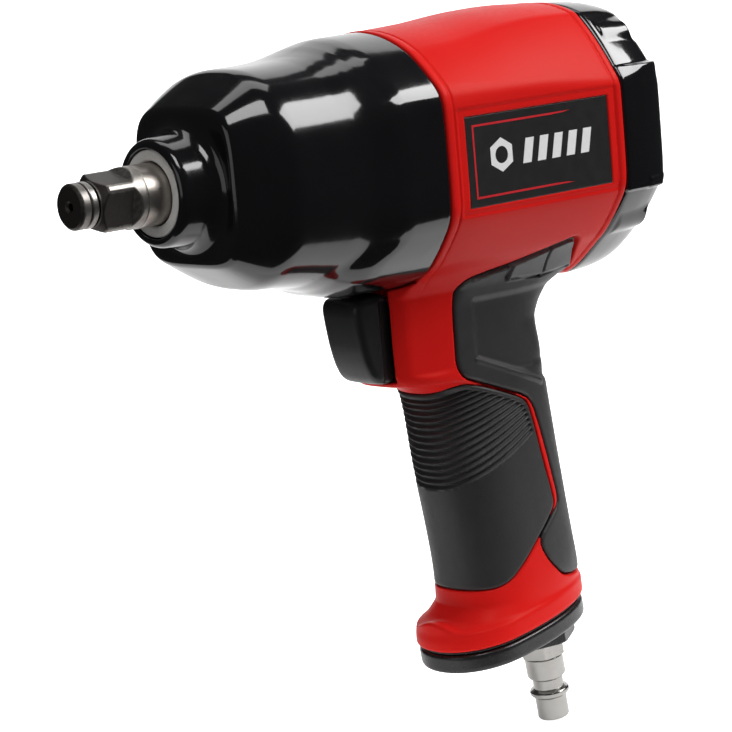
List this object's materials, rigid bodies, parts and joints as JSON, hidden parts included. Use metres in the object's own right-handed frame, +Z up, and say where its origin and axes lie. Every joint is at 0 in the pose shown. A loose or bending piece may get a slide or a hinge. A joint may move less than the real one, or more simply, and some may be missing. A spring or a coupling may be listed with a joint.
{
  "type": "pneumatic impact wrench",
  "caption": "Pistol-grip pneumatic impact wrench with square drive, hammer case, air motor, trigger throttle, direction knob and quick-connect air inlet.",
  "frame": {"origin": "centre of the flat nose face of the square drive", "axes": "+X runs rearwards along the spindle, +Z up, the handle hangs down; the tool's left side is -Y"},
  "size_m": [0.1956, 0.0674, 0.2114],
  "materials": {
    "black_paint": "cast aluminium under black gloss paint with slight orange peel",
    "cover_black": "cast aluminium under black gloss paint",
    "red_nylon": "red glass-filled nylon, satin, fine texture",
    "grip_rubber": "matte charcoal overmoulded rubber",
    "black_plastic": "semi-gloss black nylon",
    "label_black": "printed badge, satin",
    "hardened_steel": "heat-treated dark steel with bright worn edges",
    "steel": "machined steel",
    "nickel": "nickel-plated steel",
    "sintered": "sintered iron, grey",
    "alu": "machined aluminium",
    "brass": "machined brass",
    "seal": "nitrile seal",
    "phenolic": "phenolic laminate vane",
    "filter": "felt and sintered filter"
  },
  "bodies": {
    "housing": {"hammer_case": "black_paint", "rear_cover": "cover_black", "motor_housing": "red_nylon", "front_grip": "grip_rubber", "rear_grip": "grip_rubber", "label_plate_left": "label_black", "label_plate_right": "label_black", "base_gasket": "seal", "base_plate": "black_plastic", "inlet_bushing": "cover_black", "inlet_o_ring": "seal", "inlet_strainer": "brass", "inlet_nipple": "nickel", "trigger_bushing": "brass", "throttle_seat": "brass", "throttle_spring": "steel", "anvil_bushing": "sintered", "front_gasket": "seal", "front_end_plate": "alu", "cylinder": "steel", "cylinder_dowel_pin": "steel", "rear_end_plate": "alu", "rear_gasket": "seal", "front_bearing_outer_ring": "steel", "rear_bearing_outer_ring": "steel", "detent_spring": "steel", "muffler": "filter", "cover_screw_1": "hardened_steel", "cover_screw_2": "hardened_steel", "cover_screw_3": "hardened_steel", "cover_screw_4": "hardened_steel", "base_screw_1": "hardened_steel", "base_screw_2": "hardened_steel"},
    "output_shaft": {"anvil": "hardened_steel", "socket_retaining_ring": "steel", "ring_o_ring": "seal"},
    "rotor": {"rotor": "hardened_steel", "vane_1": "phenolic", "vane_2": "phenolic", "vane_3": "phenolic", "vane_4": "phenolic", "vane_5": "phenolic", "vane_6": "phenolic", "hammer_cage": "steel", "hammer_pin_1": "steel", "hammer_pin_2": "steel", "front_bearing_inner_ring": "steel", "rear_bearing_inner_ring": "steel"},
    "hammer_front": {"hammer_front": "hardened_steel"},
    "hammer_rear": {"hammer_rear": "hardened_steel"},
    "front_balls": {"front_bearing_balls": "brass"},
    "rear_balls": {"rear_bearing_balls": "brass"},
    "trigger": {"trigger": "black_plastic", "trigger_pin": "steel"},
    "throttle_valve": {"throttle_valve": "steel"},
    "direction_knob": {"direction_knob": "black_plastic", "direction_valve": "brass"},
    "detent_ball": {"detent_ball": "steel"}
  },
  "joints": [
    {"name": "rotor_spin", "type": "hinge", "parent": "housing", "child": "rotor", "pos_m": [0.125, 0, 0], "axis": [1, 0, 0], "continuous": true},
    {"name": "output_spin", "type": "hinge", "parent": "housing", "child": "output_shaft", "pos_m": [0.03, 0, 0], "axis": [1, 0, 0], "continuous": true},
    {"name": "front_bearing_spin", "type": "hinge", "parent": "housing", "child": "front_balls", "pos_m": [0.09855, 0, 0], "axis": [1, 0, 0], "continuous": true},
    {"name": "rear_bearing_spin", "type": "hinge", "parent": "housing", "child": "rear_balls", "pos_m": [0.15165, 0, 0], "axis": [1, 0, 0], "continuous": true},
    {"name": "front_hammer_rock", "type": "hinge", "parent": "rotor", "child": "hammer_front", "pos_m": [0.0584, 0.019, 0], "axis": [1, 0, 0], "range_deg": [-4, 4]},
    {"name": "rear_hammer_rock", "type": "hinge", "parent": "rotor", "child": "hammer_rear", "pos_m": [0.0765, -0.019, 0], "axis": [1, 0, 0], "range_deg": [-4, 4]},
    {"name": "trigger_press", "type": "slide", "parent": "housing", "child": "trigger", "axis": [1, 0, 0], "range_m": [0, 0.006], "stiffness_N_per_m": 700, "springref_m": -0.001},
    {"name": "throttle_tilt", "type": "hinge", "parent": "housing", "child": "throttle_valve", "pos_m": [0.1276, 0, -0.0632], "axis": [0, 1, 0], "range_deg": [0, 23.5], "deforming": ["throttle_spring"]},
    {"name": "direction_turn", "type": "hinge", "parent": "housing", "child": "direction_knob", "pos_m": [0.19, 0, 0], "axis": [1, 0, 0], "range_deg": [-30, 30]},
    {"name": "detent_slide", "type": "slide", "parent": "housing", "child": "detent_ball", "axis": [1, 0, 0], "range_m": [-0.0006, 0], "stiffness_N_per_m": 2000, "springref_m": 0.0005, "deforming": ["detent_spring"]}
  ],
  "couplings": [
    {"joint": "output_spin", "follows": "rotor_spin", "ratio": 1},
    {"joint": "front_bearing_spin", "follows": "rotor_spin", "ratio": 0.43},
    {"joint": "rear_bearing_spin", "follows": "rotor_spin", "ratio": 0.43},
    {"joint": "throttle_tilt", "follows": "trigger_press", "rad_per_m": 68.3}
  ]
}
